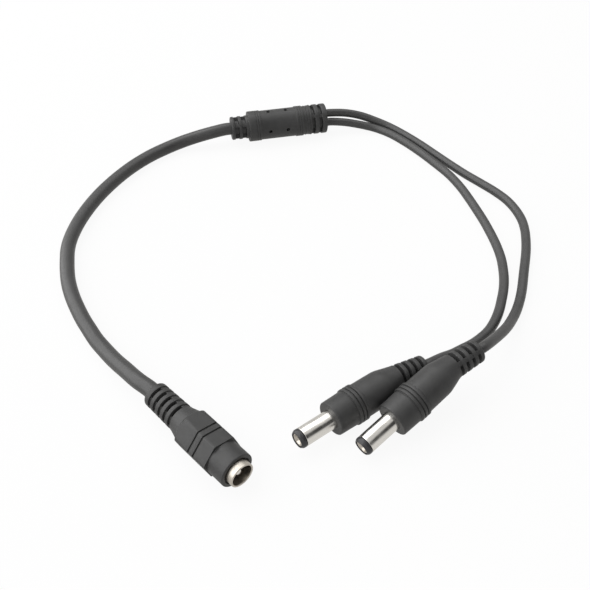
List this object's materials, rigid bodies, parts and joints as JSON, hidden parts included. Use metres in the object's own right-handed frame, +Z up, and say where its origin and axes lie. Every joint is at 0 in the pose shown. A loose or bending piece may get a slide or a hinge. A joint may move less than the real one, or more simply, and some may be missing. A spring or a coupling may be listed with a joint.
{
  "type": "dc splitter cable",
  "caption": "DC power splitter cable: an inline barrel socket on a trunk cord feeds a moulded splitter block whose branch cords end in male barrel plugs.",
  "frame": {"origin": "on the floor the cable lies on, under the middle of the box round the socket, splitter block and plugs", "axes": "+X to the right in the picture, +Y away from the camera along the floor, +Z up"},
  "size_m": [0.1637, 0.1828, 0.0157],
  "materials": {
    "moulded_pvc": "satin moulded black PVC",
    "cord_jacket": "satin extruded black PVC",
    "nickel_contact": "bright nickel plating on brass",
    "black_insulator": "smooth black insulator",
    "red_core": "red core insulation",
    "black_core": "black core insulation",
    "joint_sleeving": "dull shrink sleeving"
  },
  "bodies": {
    "root": {"jack_centre_pin": "nickel_contact", "jack_insulator": "black_insulator", "jack_leaf_spring": "nickel_contact", "jack_negative_wire": "black_core", "jack_overmould": "moulded_pvc", "jack_positive_wire": "red_core", "jack_sleeve": "nickel_contact", "left_branch_cord": "cord_jacket", "left_plug_barrel": "nickel_contact", "left_plug_inner_contact": "nickel_contact", "left_plug_negative_wire": "black_core", "left_plug_overmould": "moulded_pvc", "left_plug_positive_wire": "red_core", "left_plug_tip_insulator": "black_insulator", "right_branch_cord": "cord_jacket", "right_plug_barrel": "nickel_contact", "right_plug_inner_contact": "nickel_contact", "right_plug_negative_wire": "black_core", "right_plug_overmould": "moulded_pvc", "right_plug_positive_wire": "red_core", "right_plug_tip_insulator": "black_insulator", "splitter_left_negative_wire": "black_core", "splitter_left_positive_wire": "red_core", "splitter_mould": "moulded_pvc", "splitter_negative_joint": "joint_sleeving", "splitter_positive_joint": "joint_sleeving", "splitter_right_negative_wire": "black_core", "splitter_right_positive_wire": "red_core", "splitter_trunk_negative_wire": "black_core", "splitter_trunk_positive_wire": "red_core", "trunk_cord": "cord_jacket"}
  },
  "joints": []
}
